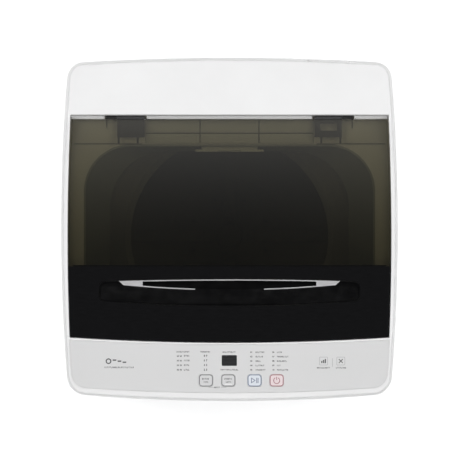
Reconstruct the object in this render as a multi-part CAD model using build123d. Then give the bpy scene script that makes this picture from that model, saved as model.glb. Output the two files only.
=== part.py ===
from build123d import *
import math
import os

# Compact top load washing machine, built as an assembly of separate pieces.
# Units are millimetres. +Z is up, +X is to the user's right, and the user stands at -Y.
# The origin is on the floor, under the centre of the top cover's outline.

# ---------------------------------------------------------------- driving dimensions
HEIGHT = 890.0                 # floor to the top of the rear console
WALL = 3.0                     # plastic mouldings
SHEET = 0.8                    # cabinet sheet

# Top cover: the barrel-shaped moulding that closes the cabinet
TOP_HALF_X, TOP_HALF_Y = 255.0, 260.0
TOP_CORNER_X, TOP_CORNER_REAR, TOP_CORNER_FRONT = 244.0, 252.0, -249.0
TOP_R_REAR, TOP_R_FRONT = 26.0, 30.0
SKIRT_Z, LEDGE_Z, DECK_Z = 800.0, 815.0, 850.0
RAIL_Z = 867.5                 # side rails, level with the closed lid
DRAFT = 3.2                    # degrees that the top cover's outer walls lean in
EDGE_R = 2.5                   # roll-off round the top cover's upper edge
CONSOLE_Y = 171.0              # front face of the rear console
CONSOLE_LEAN = 2.0             # how far that face leans back over its height
PANEL_TILT = 4.9               # degrees that the front console falls towards the user
PANEL_TOP_Y = -160.0           # where that slope begins
PANEL_T = 2.5

# Laundry opening: a funnel from the deck down to its neck
FUNNEL_TOP = (217.0, -156.0, 125.5, 68.0)      # half width, front y, rear y, corner radius
FUNNEL_NECK = (180.5, -143.0, 118.5, 85.0)
NECK_Z = 797.0

# Lid
LID_REAR_Y, LID_FRONT_Y, LID_CORNER_Y = 165.5, -170.0, -162.0
LID_REAR_X, LID_MID_X, LID_FRONT_X = 238.4, 243.0, 239.9
LID_TOP_Z, LID_T, LID_SKIRT_Z = RAIL_Z, 3.0, 853.0
LID_GAP = 1.5
WINDOW_FRONT_Y = -56.0         # where the clear window meets the opaque front panel
HINGE_Y, HINGE_Z = 168.6, 866.0
HINGE_PIN_R, KNUCKLE_R, RUNNING = 1.5, 2.5, 0.05
HINGE_X = (128.0, 170.0, 186.0)                # knuckle's inner end, its outer end, bracket's outer end
SILL_Z = 863.5

# Cabinet, base and feet
CAB_HALF_X, CAB_HALF_Y, CAB_R = 241.0, 246.0, 36.0
CAB_BOTTOM = 48.0
BASE_BOTTOM, BASE_TOP = 20.0, 75.0
FOOT_X, FOOT_Y, FOOT_R, FOOT_STEM_R = 203.0, 208.0, 20.0, 5.0
REAR_OPENING = (190.0, 82.0, 764.0)            # half width, bottom, top

# Tub unit: everything that hangs from the four suspension rods, on one vertical axis
AXIS_Y = -10.0
TUB_R, TUB_BOTTOM, TUB_TOP = 216.0, 205.0, 730.0
BASKET_R, BASKET_T, BASKET_TOP = 195.0, 0.8, 700.0
BALANCE_IN, BALANCE_OUT = 150.0, 197.0
SPIN_SHAFT_R, WASH_SHAFT_R, BEARING_R = 13.0, 9.0, 20.0
PULLEY_R, MOTOR_PULLEY_R, PULLEY_Z, PULLEY_H = 85.0, 22.0, 88.0, 18.0
GROOVE, BELT_T, BELT_SLACK = 6.0, 4.5, 0.5
MOTOR_X = -150.0
ROD_OFFSET, ROD_R = 203.0, 4.0
PLATE_Z = 202.0                # underside of the steel support plate
DRAIN_X, DRAIN_Z = 140.0, 160.0
BRAKE_PIVOT = (62.0, AXIS_Y - 22.0)

# Keys on the front console: name and x of the centre
KEYS = (("water_level", -35.6), ("program", -1.8), ("start_pause", 37.9), ("power", 71.2))
KEY_Y, KEY_W, KEY_D, KEY_R = -228.0, 21.5, 18.7, 5.0
KEY_GAP, KEY_PROUD, KEY_FLANGE = 0.35, 0.7, 1.5
DISPLAY_X, DISPLAY_Y, DISPLAY_W, DISPLAY_D = -0.3, -198.0, 22.9, 16.3

UP = (0, 0, 1)
LOW = (Align.CENTER, Align.CENTER, Align.MIN)

# The front console's surface, with its local y running up the slope towards the lid
PANEL = Plane(
    origin=(0, PANEL_TOP_Y, RAIL_Z),
    x_dir=(1, 0, 0),
    z_dir=(0, -math.sin(math.radians(PANEL_TILT)), math.cos(math.radians(PANEL_TILT))),
)


# ---------------------------------------------------------------- helpers
def block(x0, x1, y0, y1, z0, z1):
    """Box between two corners."""
    return Pos((x0 + x1) / 2, (y0 + y1) / 2, (z0 + z1) / 2) * Box(x1 - x0, y1 - y0, z1 - z0)


def round_block(x0, x1, y0, y1, z0, z1, r):
    """Box with round upright corners."""
    face = Pos((x0 + x1) / 2, (y0 + y1) / 2, z0) * RectangleRounded(x1 - x0, y1 - y0, r)
    return extrude(face, z1 - z0, dir=UP)


def upright_slab(z, width, height, y0, y1, r):
    """Slab that faces the rear, with round corners."""
    face = Plane((0, y0, z), x_dir=(1, 0, 0), z_dir=(0, 1, 0)) * RectangleRounded(width, height, r)
    return extrude(face, y1 - y0, dir=(0, 1, 0))


def rod_z(x, y, z0, z1, r):
    return Pos(x, y, z0) * Cylinder(r, z1 - z0, align=LOW)


def rod_y(x, z, y0, y1, r):
    return Pos(x, y0, z) * Rot(-90, 0, 0) * Cylinder(r, y1 - y0, align=LOW)


def rod_x(y, z, x0, x1, r):
    return Pos(x0, y, z) * Rot(0, 90, 0) * Cylinder(r, x1 - x0, align=LOW)


def ring_z(x, y, z0, z1, r_out, r_in):
    return rod_z(x, y, z0, z1, r_out) - rod_z(x, y, z0, z1, r_in)


def axis_ring(z0, z1, r_out, r_in):
    return ring_z(0, AXIS_Y, z0, z1, r_out, r_in)


def turned(points):
    """Solid of revolution on the tub's axis, from (radius, z) points."""
    profile = Plane.XZ * make_face(Polyline(*points, close=True))
    return Pos(0, AXIS_Y, 0) * revolve(profile, Axis.Z)


def prism_x(points, half):
    """Solid with one (y, z) section all along x."""
    face = Plane.YZ.offset(-half) * make_face(Polyline(*points, close=True))
    return extrude(face, 2 * half, dir=(1, 0, 0))


def column(face, z0, z1):
    return extrude(Pos(0, 0, z0) * face, z1 - z0, dir=UP)


def arcs(*points):
    """Face bounded by three-point arcs: corner, middle, corner, middle, and round again."""
    edges = []
    for i in range(0, len(points), 2):
        edges.append(ThreePointArc(points[i], points[i + 1], points[(i + 2) % len(points)]))
    return make_face(edges)


def mirrored(shape):
    """The piece and its twin on the other side of the machine."""
    return shape + mirror(shape, Plane.YZ)


def slope_z(y):
    """Height of the front console's surface."""
    return RAIL_Z + (y - PANEL_TOP_Y) * math.tan(math.radians(PANEL_TILT))


def on_panel(x, y, z=0.0):
    """Place on the front console's surface, z along its normal, for a plan position x, y."""
    return PANEL * Pos(x, (y - PANEL_TOP_Y) / math.cos(math.radians(PANEL_TILT)), z)


def panel_slab(x, y, width, depth, z0, z1, r):
    face = on_panel(x, y, z0) * RectangleRounded(width, depth, r)
    return extrude(face, z1 - z0, dir=PANEL.z_dir)


# ---------------------------------------------------------------- outlines
def top_outline(inset):
    """Barrel-shaped plan of the top cover, moved in by inset."""
    x, rear, front = TOP_CORNER_X - inset, TOP_CORNER_REAR - inset, TOP_CORNER_FRONT + inset
    face = arcs(
        (-x, front), (-(TOP_HALF_X - inset), 0),
        (-x, rear), (0, TOP_HALF_Y - inset),
        (x, rear), (TOP_HALF_X - inset, 0),
        (x, front), (0, inset - TOP_HALF_Y),
    )
    face = fillet(face.vertices().filter_by(lambda v: v.Y < 0), TOP_R_FRONT - inset)
    return fillet(face.vertices().filter_by(lambda v: v.Y > 0 and abs(v.X) > x - 2), TOP_R_REAR - inset)


def cover_body(inset, z0, z1):
    """The top cover's outline between two heights, leaning in as it rises, moved in by inset."""
    narrowing_down = extrude(Pos(0, 0, SKIRT_Z) * top_outline(inset), HEIGHT + 20 - SKIRT_Z, taper=DRAFT)
    body = mirror(narrowing_down, Plane.XY.offset(SKIRT_Z))
    return body & block(-300, 300, -300, 300, z0, z1)


def lid_outline(grow, rear_y=LID_REAR_Y):
    """Plan of the closed lid, grown by a gap. Its rear edge is straight."""
    rear_x, mid_x, front_x = LID_REAR_X + grow, LID_MID_X + grow, LID_FRONT_X + grow
    corner_y = LID_CORNER_Y - grow
    return make_face([
        ThreePointArc((-rear_x, rear_y), (-mid_x, 0), (-front_x, corner_y)),
        ThreePointArc((-front_x, corner_y), (0, LID_FRONT_Y - grow), (front_x, corner_y)),
        ThreePointArc((front_x, corner_y), (mid_x, 0), (rear_x, rear_y)),
        Line((rear_x, rear_y), (-rear_x, rear_y)),
    ])


def panel_outline(grow):
    """Plan of the front console's panel: its rear edge follows the lid, its front edge the rim."""
    rear = (241.4 + grow, -166.8 + grow)
    front = (236.5 + grow, -238.0 - grow)
    side_mid = (239.8 + grow, -203.0)
    face = arcs(
        (-rear[0], rear[1]), (0, -174.0 + grow),
        rear, side_mid,
        front, (0, -247.0 - grow),
        (-front[0], front[1]), (-side_mid[0], side_mid[1]),
    )
    return fillet(face.vertices().filter_by(lambda v: v.Y < -220), 22 + grow)


def console_profile(drop):
    """Everything under the top cover's upper surface, lowered by drop."""
    y_far, y_rise, y_crest = 300.0, 95.0, 165.0
    top = FilletPolyline(
        (-y_far, slope_z(-y_far) - drop),
        (PANEL_TOP_Y, RAIL_Z - drop),
        (y_rise, RAIL_Z - drop),
        (y_crest, HEIGHT - drop),
        (y_far, HEIGHT - drop),
        radius=60,
    )
    rest = Polyline((y_far, HEIGHT - drop), (y_far, 0), (-y_far, 0), (-y_far, slope_z(-y_far) - drop))
    face = Plane.YZ.offset(-y_far) * make_face(top.edges() + rest.edges())
    return extrude(face, 2 * y_far, dir=(1, 0, 0))


def funnel(grow, top_z):
    """Solid that fills the laundry opening from the deck to the neck."""
    faces = []
    for (half, front, rear, r), z in ((FUNNEL_TOP, top_z), (FUNNEL_NECK, NECK_Z)):
        flat = RectangleRounded(2 * (half + grow), rear - front + 2 * grow, r + grow)
        faces.append(Pos(0, (front + rear) / 2, z) * flat)
    return loft(faces)


# ---------------------------------------------------------------- top cover and front console
INLET = (150.0, 850.0)                          # x and z of the water inlet
INLET_WALL_Y = 222.0                            # face of the recess that it stands in
INLET_COLLAR_R, INLET_THREAD_R, INLET_BORE_R, INLET_TIP_Y = 16.0, 13.2, 8.0, 252.0
DISPENSER_Y = (130.3, 212.0)
DISPENSER_X = 127.0
APERTURE = (-62.0, 92.0, -243.0, -183.0)        # behind the keys and the display


def outer_top_edges(shape):
    """The long edge round the top cover, without the seams that cross its upper surface."""
    level = [e for e in shape.edges() if e.center().Z > SKIRT_Z + 20 and abs(e.tangent_at(0.5).Z) < 0.9]
    return [e for e in level if abs(e.center().X) > 1 or abs(e.center().Y) > TOP_HALF_Y - 20]


def top_cover():
    shell = cover_body(0, SKIRT_Z, HEIGHT + 10) & console_profile(0)
    shell = shell.fillet(EDGE_R, outer_top_edges(shell))

    # Hollow underside: skirt, a ledge that sits on the cabinet, then the deck's and consoles' insides
    hollow = cover_body(WALL, 840, HEIGHT)
    under_console = hollow & console_profile(WALL) & block(-300, 300, CONSOLE_Y + 10, 300, 840, HEIGHT)
    under_panel = hollow & console_profile(PANEL_T + WALL)
    under_panel &= block(-300, 300, -300, LID_FRONT_Y - 6, 840, HEIGHT)
    shell -= cover_body(WALL, SKIRT_Z, LEDGE_Z)
    shell -= round_block(-226, 226, -231, 231, LEDGE_Z, LEDGE_Z + WALL, 20)
    shell -= cover_body(WALL, LEDGE_Z + WALL, DECK_Z - WALL)
    shell -= under_console
    shell -= under_panel

    # Pocket for the lid, with the rear console's front face leaning back
    shell -= column(lid_outline(LID_GAP, CONSOLE_Y), DECK_Z, HEIGHT + 10)
    lean = [
        (CONSOLE_Y - 1, RAIL_Z - 5), (CONSOLE_Y, RAIL_Z - 5),
        (CONSOLE_Y + CONSOLE_LEAN, HEIGHT - 4), (CONSOLE_Y + CONSOLE_LEAN, HEIGHT + 5),
        (CONSOLE_Y - 1, HEIGHT + 5),
    ]
    shell -= prism_x(lean, LID_REAR_X + LID_GAP)

    # Opening for the laundry funnel, and a sill behind the lid that stops short of the hinges
    shell -= funnel(WALL, DECK_Z)
    sill = block(-LID_REAR_X, LID_REAR_X, LID_REAR_Y + 1.2, CONSOLE_Y, DECK_Z - 1, SILL_Z)
    for side in (-1, 1):
        x0, x1 = sorted((side * (HINGE_X[0] - 3), side * (HINGE_X[2] + 2)))
        sill -= block(x0, x1, 160, CONSOLE_Y, DECK_Z, SILL_Z)
    shell += sill

    # Recess for the front panel, with an aperture for the keys and the display
    shell -= column(panel_outline(0.3), 840, HEIGHT) - console_profile(PANEL_T)
    x0, x1, y0, y1 = APERTURE
    shell -= block(x0, x1, y0, y1, 840, 870)

    # Cut-outs for the dispenser's top and for its drawer, and the crease across the deck
    shell -= block(-DISPENSER_X, DISPENSER_X, 129.8, 166.8, DECK_Z - WALL - 1, DECK_Z + 1)
    shell -= block(-236, 236, 127.8, 130.2, DECK_Z - 2.2, DECK_Z + 1)
    return inlet_recess(shell)


def laundry_funnel():
    """Ring that guides clothes from the deck down into the basket, with the drawer's window."""
    ring = funnel(WALL, DECK_Z) - funnel(0, DECK_Z)
    return ring - block(-46, 46, 110, 140, 814, DECK_Z - WALL)


def inlet_recess(shell):
    """The top cover with a recess in its rear wall round the water inlet."""
    x, z = INLET
    shell += block(x - 35, x + 35, INLET_WALL_Y - WALL, 252, z - 31, z + 33)
    shell -= block(x - 32, x + 32, INLET_WALL_Y, 270, z - 28, z + 30)
    return shell - rod_y(x, z, INLET_WALL_Y - 10, INLET_WALL_Y + 10, INLET_COLLAR_R + 0.3)


def control_panel():
    panel = column(panel_outline(0), 840, HEIGHT) & console_profile(0)
    panel -= console_profile(PANEL_T)
    for _, x in KEYS:
        panel -= panel_slab(x, KEY_Y, KEY_W + 2 * KEY_GAP, KEY_D + 2 * KEY_GAP, -5, 5, KEY_R + KEY_GAP)
    return panel - panel_slab(DISPLAY_X, DISPLAY_Y, DISPLAY_W, DISPLAY_D, -5, 5, 1.5)


def key(x):
    """Push key: a cap through the panel, and a flange that keeps it in."""
    cap = panel_slab(x, KEY_Y, KEY_W, KEY_D, -4.5, KEY_PROUD, KEY_R)
    cap = fillet(cap.faces().sort_by(Axis.Z)[-1].edges(), 0.5)
    return cap + panel_slab(x, KEY_Y, KEY_W + 2 * KEY_FLANGE, KEY_D + 2 * KEY_FLANGE, -4.5, -3.5, KEY_R)


def display_window():
    return panel_slab(DISPLAY_X, DISPLAY_Y, DISPLAY_W, DISPLAY_D, -PANEL_T, 0, 1.5)


def control_board():
    """Circuit board with the display module, and a switch just clear of each pressed key."""
    board = panel_slab(15, -213, 150, 56, -12, -10.4, 2)
    board += panel_slab(DISPLAY_X, DISPLAY_Y, DISPLAY_W + 2, DISPLAY_D + 2, -10.4, -PANEL_T - 0.3, 1)
    for _, x in KEYS:
        board += panel_slab(x, KEY_Y, 12, 12, -10.4, -7, 1)
        board += extrude(on_panel(x, KEY_Y, -7) * Circle(3), 1.4, dir=PANEL.z_dir)
    return board


# ---------------------------------------------------------------- dispenser and water inlet
DRAWER_Z = (817.0, 843.0)


def dispenser_housing():
    y0, y1 = DISPENSER_Y
    box = block(-98, 98, y0, y1, 811, 846.8)
    box += block(-DISPENSER_X + 0.8, DISPENSER_X - 0.8, y0, 166.2, 846.8, DECK_Z - 0.5)
    for x in (-71.5, 71.5):                     # water channels each side of the drawer
        box -= block(x - 24, x + 24, y0 + 3, y1 - 3, 814, 845)
    box -= block(-43.5, 43.5, y0 - 5, y1 - 3, DRAWER_Z[0] - 1, DRAWER_Z[1] + 1)
    for x in (-44.5, 44.5):                     # creases in its top
        box -= block(x - 0.9, x + 0.9, y0 - 1, 168, DECK_Z - 2.5, DECK_Z)
    return box - block(-130, 130, 144.0, 146.4, DECK_Z - 2.5, DECK_Z)


def detergent_drawer():
    y_rear = 203.0
    low, high = DRAWER_Z
    tray = round_block(-42.5, 42.5, 120.3, y_rear, low, high, 4)
    tray -= round_block(-40.5, 12, 125, y_rear - 2, low + 2, high + 1, 4)
    tray -= round_block(14, 40.5, 125, y_rear - 2, low + 2, high + 1, 4)
    front = fillet(block(-52, 52, 117.4, 120.6, low - 0.5, high + 1.5).edges().filter_by(Axis.Y), 3)
    front -= rod_x(116.2, high + 1.5, -18, 18, 3)           # finger notch in its top edge
    return tray + front


def inlet_valve():
    x, z = INLET
    valve = block(x - 18, x + 18, 184, 214, z - 18, z + 18)
    valve += rod_y(x, z, 214, INLET_WALL_Y - WALL, 18)
    valve += rod_y(x, z, 214, INLET_WALL_Y + 2, INLET_COLLAR_R)
    valve += rod_y(x, z, 214, INLET_TIP_Y, INLET_THREAD_R)
    valve += rod_x(199, z - 12, 98, x - 18, 9)              # outlet straight into the dispenser
    return valve - rod_y(x, z, 200, INLET_TIP_Y + 1, INLET_BORE_R)


SENSOR = (-150.0, 210.0)                        # water level sensor, as x and y


def pressure_switch():
    x, y = SENSOR
    body = rod_z(x, y, 832, 850, 25) + rod_z(x, y, 850, 856, 15)
    return body + rod_z(x, y, 822, 832, 3)


def air_tube():
    """Thin tube from the tub's air chamber up to the pressure switch."""
    x, y = SENSOR
    route = FilletPolyline((-131, 178, 250), (-131, 178, 700), (x, y, 760), (x, y, 822), radius=40)
    section = Plane(origin=route @ 0, z_dir=route % 0) * Circle(2.5)
    return sweep(section, path=route)


# ---------------------------------------------------------------- lid
HANDLE_REAR = ((-166.9, -78.0), (0, -75.6), (166.9, -78.0))
HANDLE_FRONT = ((160.0, -84.2), (0, -91.9), (-160.0, -84.2))
SCOOP = ((-197.0, -79.0), (0, -73.4), (197.0, -79.0), (197.0, -108.0), (0, -116.0), (-197.0, -108.0))
TRIM_LINE = 1.6                # width of the bright line round the grip
TRIM_END = 131.0               # the trim is solid outside this x


def scoop_face(inset):
    a, b, c, d, e, f = SCOOP
    face = make_face([
        ThreePointArc((a[0] + inset, a[1] - inset), (b[0], b[1] - inset), (c[0] - inset, c[1] - inset)),
        Line((c[0] - inset, c[1] - inset), (d[0] - inset, d[1] + inset)),
        ThreePointArc((d[0] - inset, d[1] + inset), (e[0], e[1] + inset), (f[0] + inset, f[1] + inset)),
        Line((f[0] + inset, f[1] + inset), (a[0] + inset, a[1] - inset)),
    ])
    return fillet(face.vertices(), 9 - inset)


def grip_face(inset):
    """Lens-shaped outline of the grip pocket."""
    (ax, ay), (_, by), (cx, cy) = HANDLE_REAR
    (dx, dy), (_, ey), (fx, fy) = HANDLE_FRONT
    return make_face([
        ThreePointArc((ax, ay - inset), (0, by - inset), (cx, cy - inset)),
        Line((cx, cy - inset), (dx, dy + inset)),
        ThreePointArc((dx, dy + inset), (0, ey + inset), (fx, fy + inset)),
        Line((fx, fy + inset), (ax, ay - inset)),
    ])


def lid_skirt(thickness, z0, z1):
    """Wall hanging from the lid's edge."""
    inner = lid_outline(-thickness, LID_REAR_Y - thickness)
    return column(lid_outline(0), z0, z1) - column(inner, z0, z1)


def lid_window():
    shell = column(lid_outline(0), LID_TOP_Z - LID_T, LID_TOP_Z)
    shell += lid_skirt(2.5, LID_SKIRT_Z, LID_TOP_Z - LID_T)
    shell -= block(-300, 300, -300, WINDOW_FRONT_Y, 800, 900)
    inner, outer, _ = HINGE_X
    notch = block(inner - 1.5, outer + 1.5, LID_REAR_Y - 4, LID_REAR_Y + 1, 850, LID_TOP_Z - LID_T)
    return shell - mirrored(notch)


def lid_front_panel():
    """Opaque front of the lid, with a flange under the window and an opening for the grip."""
    shell = column(lid_outline(0), LID_TOP_Z - LID_T, LID_TOP_Z)
    shell += lid_skirt(3, LID_SKIRT_Z, LID_TOP_Z - LID_T)
    shell -= block(-300, 300, WINDOW_FRONT_Y, 300, 800, 900)
    under = LID_TOP_Z - LID_T
    shell += block(-236, 236, WINDOW_FRONT_Y - 6, WINDOW_FRONT_Y + 2, under - 2.8, under - 0.2)
    shell += block(-236, 236, WINDOW_FRONT_Y - 6, WINDOW_FRONT_Y - 1, under - 1, under + 1)
    shell -= column(scoop_face(0), 840, 900)
    return shell


def handle_cup():
    """Tray behind the opening: a shallow ramp for the fingers that drops into the grip pocket."""
    floor_z = 855.0
    cup = column(scoop_face(0.3), floor_z - 2, LID_TOP_Z - 0.4)
    ramp = [
        (-120, LID_TOP_Z), (-114, LID_TOP_Z - 0.6), (-86, LID_TOP_Z - 5), (-70, LID_TOP_Z - 5),
        (-70, LID_TOP_Z + 12), (-120, LID_TOP_Z + 12),
    ]
    cup -= prism_x(ramp, 300) & column(scoop_face(2), 800, 900)
    cup -= column(grip_face(TRIM_LINE) & (Pos(0, -84) * Rectangle(2 * TRIM_END, 40)), floor_z, 900)
    slot = (Pos(0, -113.6) * Rectangle(155, 2.8)) & scoop_face(2)
    return cup - column(slot, LID_TOP_Z - 4, 900) - handle_trim()


def handle_trim():
    """Bright crescent round the grip: solid wedges at its ends, fine lines between them."""
    line = grip_face(0) - (grip_face(TRIM_LINE) & (Pos(0, -84) * Rectangle(2 * TRIM_END, 40)))
    open_front = Pos(0, -90) * Rectangle(104, 12)
    return column(line - open_front, LID_TOP_Z - 4.9, LID_TOP_Z - 0.1)


def hinge_arms():
    """Two arms under the window, each ending in the knuckle that turns on the hinge pin."""
    inner, outer, _ = HINGE_X
    under = LID_TOP_Z - LID_T - 0.2
    arm = block(inner, outer - 0.6, 139, 168.4, under - 4, under)
    for x in (inner + 9, outer - 4.1):          # two legs under the window
        arm += block(x, x + 3, 130, 140, under - 3, under)
    arm += block(inner, outer - 0.6, LID_REAR_Y + 0.3, 168.4, under - 4, HINGE_Z)
    arm += rod_x(HINGE_Y, HINGE_Z, inner, outer - 0.6, KNUCKLE_R)
    arm -= rod_x(HINGE_Y, HINGE_Z, inner - 1, outer, HINGE_PIN_R + RUNNING)
    left = mirror(arm, Plane.YZ)
    return left + (arm - block(inner + 9, outer - 8, 149, 160, under - 5, under + 1))


def hinge_brackets():
    """Blocks on the deck with the hinge pins. Round at the top, so that the lid's edge turns past."""
    inner, mid, outer = HINGE_X
    bracket = block(mid, outer, 167.2, CONSOLE_Y, DECK_Z, HINGE_Z)
    bracket += rod_x(HINGE_Y, HINGE_Z, mid, outer, CONSOLE_Y - HINGE_Y)
    bracket += block(outer - 1.5, outer, 153, 168, DECK_Z, DECK_Z + 1.6)    # rib along the deck
    return mirrored(bracket + rod_x(HINGE_Y, HINGE_Z, inner, outer, HINGE_PIN_R))


def lid_bumpers():
    """Rubber stops at the lid's corners, just above the deck."""
    front = mirrored(rod_z(229, -150, DECK_Z + 0.3, LID_TOP_Z - LID_T, 5))
    return front + mirrored(rod_z(229, -75, DECK_Z + 0.3, LID_TOP_Z - LID_T, 5))


# ---------------------------------------------------------------- cabinet, base and feet
GRIP = (125.0, 718.0, 100.0, 36.0)              # y, z, width and height of a side grip's mouth
DRAIN_CUP = 30.0                                # half size of the recess round the drain outlet
GLAND = (-150.0, 170.0, 3.9)                    # x, z and cord hole radius
SCREWS_Z = (100.0, 315.0, 535.0, 750.0)
SCREW_X = 197.0


def cabinet_outline(inset):
    return RectangleRounded(2 * (CAB_HALF_X - inset), 2 * (CAB_HALF_Y - inset), CAB_R - inset)


def cabinet_shell():
    shell = column(cabinet_outline(0), CAB_BOTTOM, LEDGE_Z)
    shell -= column(cabinet_outline(SHEET), CAB_BOTTOM, LEDGE_Z)
    half, low, high = REAR_OPENING
    shell -= block(-half, half, CAB_HALF_Y - 5, CAB_HALF_Y + 5, low, high)
    y, z, width, height = GRIP
    shell -= block(-300, 300, y - width / 2, y + width / 2, z - height / 2, z + height / 2)
    for z in SCREWS_Z:
        shell -= mirrored(rod_y(SCREW_X, z, CAB_HALF_Y - 5, CAB_HALF_Y + 5, 2.1))
    return shell


def rear_panel():
    half = SCREW_X + 6
    low, high = REAR_OPENING[1] - 6, REAR_OPENING[2] + 6
    back = CAB_HALF_Y + SHEET
    panel = block(-half, half, CAB_HALF_Y, back, low, high)
    for z0, z1 in ((235, 460), (490, 715)):     # pressed fields that stiffen the sheet
        panel += upright_slab((z0 + z1) / 2, 340, z1 - z0, back, back + 3, 18)
        panel -= upright_slab((z0 + z1) / 2, 337, z1 - z0 - 3, CAB_HALF_Y - 1, back + 3 - SHEET, 16.5)
    for i in range(6):                          # vent slots
        panel -= block(-60, 20, CAB_HALF_Y - 1, back + 1, 110 + 14 * i, 115 + 14 * i)
    reach = DRAIN_CUP + 0.2
    panel -= block(
        DRAIN_X - reach, DRAIN_X + reach, CAB_HALF_Y - 1, back + 1, DRAIN_Z - reach, DRAIN_Z + reach)
    panel -= rod_y(GLAND[0], GLAND[1], CAB_HALF_Y - 1, back + 1, 8.2)
    for z in SCREWS_Z:
        panel -= mirrored(rod_y(SCREW_X, z, CAB_HALF_Y - 1, back + 1, 2.1))
    return panel


def rear_panel_screws():
    back = CAB_HALF_Y + SHEET
    made = []
    for z in SCREWS_Z:
        for x in (-SCREW_X, SCREW_X):
            screw = rod_y(x, z, back, back + 2.4, 4.2) + rod_y(x, z, CAB_HALF_Y - 6, back, 2.0)
            screw -= block(x - 2.6, x + 2.6, back + 1.2, back + 3, z - 0.5, z + 0.5)
            made.append(screw - block(x - 0.5, x + 0.5, back + 1.2, back + 3, z - 2.6, z + 2.6))
    return Compound(made)


def side_grips():
    """Cups in the cabinet's sides for the fingers."""
    y, z, width, height = GRIP
    rim = 7.0
    cup = block(CAB_HALF_X, CAB_HALF_X + 2, y - width / 2 - rim, y + width / 2 + rim, z - height / 2 - rim,
                z + height / 2 + rim)
    cup = fillet(cup.edges().filter_by(Axis.X), 6)
    cup += block(CAB_HALF_X - 19, CAB_HALF_X, y - width / 2 + 0.3, y + width / 2 - 0.3, z - height / 2 + 0.3,
                 z + height / 2 - 0.3)
    hollow = block(CAB_HALF_X - 17, CAB_HALF_X + 5, y - width / 2 + 2.3, y + width / 2 - 2.3,
                   z - height / 2 + 2.3, z + height / 2 - 2.3)
    cup -= fillet(hollow.edges().filter_by(Axis.X), 6)
    return mirrored(cup)


def base_frame():
    def plan(inset):
        return cabinet_outline(inset)
    frame = column(plan(-2), BASE_BOTTOM, CAB_BOTTOM) + column(plan(SHEET + 0.3), CAB_BOTTOM, BASE_TOP)
    frame -= column(plan(6), BASE_BOTTOM + 6, BASE_TOP)
    for i in range(9):                          # slots in its floor
        x = -160 + 40 * i
        frame -= block(x - 14, x + 14, -165, -8, BASE_BOTTOM - 1, BASE_BOTTOM + 7)
        frame -= block(x - 14, x + 14, 8, 165, BASE_BOTTOM - 1, BASE_BOTTOM + 7)
    for x in (-FOOT_X, FOOT_X):
        frame += rod_z(x, -FOOT_Y, BASE_BOTTOM, 60, 15)
        frame += rod_z(x, FOOT_Y, BASE_BOTTOM, 45, 15)
        frame -= rod_z(x, -FOOT_Y, BASE_BOTTOM - 1, 61, FOOT_STEM_R + RUNNING)
        frame -= rod_z(x, FOOT_Y, BASE_BOTTOM - 1, 36, 6)
    return frame


def rear_feet():
    foot = rod_z(FOOT_X, FOOT_Y, 0, BASE_BOTTOM, FOOT_R)
    foot = chamfer(foot.faces().sort_by(Axis.Z)[0].edges(), 2)
    return mirrored(foot + rod_z(FOOT_X, FOOT_Y, BASE_BOTTOM, 35, 6))


def front_foot(side):
    """Levelling foot: a rubber-shod pad on a threaded stem."""
    pad = rod_z(side * FOOT_X, -FOOT_Y, 0, 11, FOOT_R)
    pad = chamfer(pad.faces().sort_by(Axis.Z)[0].edges(), 2)
    pad = chamfer(pad.faces().sort_by(Axis.Z)[-1].edges(), 3)
    return pad + rod_z(side * FOOT_X, -FOOT_Y, 11, 58, FOOT_STEM_R)


def foot_lock_nuts():
    hexagon = Pos(FOOT_X, -FOOT_Y, 13.5) * RegularPolygon(9.8, 6)
    nut = extrude(hexagon, BASE_BOTTOM - 13.5, dir=UP)
    return mirrored(nut - rod_z(FOOT_X, -FOOT_Y, 10, 30, FOOT_STEM_R + RUNNING))


def drain_outlet():
    """Recessed cup in the rear panel with the spigot that the drain hose fits over."""
    x, z, h = DRAIN_X, DRAIN_Z, DRAIN_CUP
    back = CAB_HALF_Y + SHEET
    rim = h + 5
    cup = block(x - h, x + h, 224, back, z - h, z + h)
    cup += block(x - rim, x + rim, back, back + 1.5, z - rim, z + rim)
    cup -= block(x - h + 2, x + h - 2, 226, back + 2, z - h + 2, z + h - 2)
    cup += rod_y(x, z, 206, 256, 14)
    return cup - rod_y(x, z, 200, 260, 11)


def cord_gland():
    x, z, r = GLAND
    back = CAB_HALF_Y + SHEET
    gland = rod_y(x, z, 236, back, 8) + rod_y(x, z, back, back + 4, 11)
    gland = fillet(gland.faces().sort_by(Axis.Y)[-1].edges(), 1.5)
    return gland - rod_y(x, z, 230, back + 5, r)


# ---------------------------------------------------------------- suspension
ROD_Z = (210.0, 786.0)                          # underside of the lower plate, seat of the ball


def corners():
    """The four suspension points, as (x, y)."""
    return [(sx * ROD_OFFSET, AXIS_Y + sy * ROD_OFFSET) for sx in (-1, 1) for sy in (-1, 1)]


def suspension_brackets():
    """Steel gussets in the cabinet's upper corners."""
    low, high = ROD_Z[1] - 6, ROD_Z[1]
    plate = column(cabinet_outline(SHEET + 0.2), low, high)
    made = []
    for x, y in corners():
        sx, sy = math.copysign(1, x), math.copysign(1, y - AXIS_Y)
        gusset = plate & block(*sorted((sx * 172, sx * 250)), *sorted((sy * 172, sy * 260)), low, high)
        made.append(gusset - rod_z(x, y, low - 1, high + 1, ROD_R + 1))
    return Compound(made)


def suspension_rods():
    made = []
    for x, y in corners():
        rod = rod_z(x, y, ROD_Z[0], ROD_Z[1] + 1, ROD_R) + rod_z(x, y, ROD_Z[0], ROD_Z[0] + 4, 15.5)
        ball = Pos(x, y, ROD_Z[1]) * Sphere(9)
        made.append(rod + (ball & block(x - 20, x + 20, y - 20, y + 20, ROD_Z[1], ROD_Z[1] + 20)))
    return Compound(made)


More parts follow.
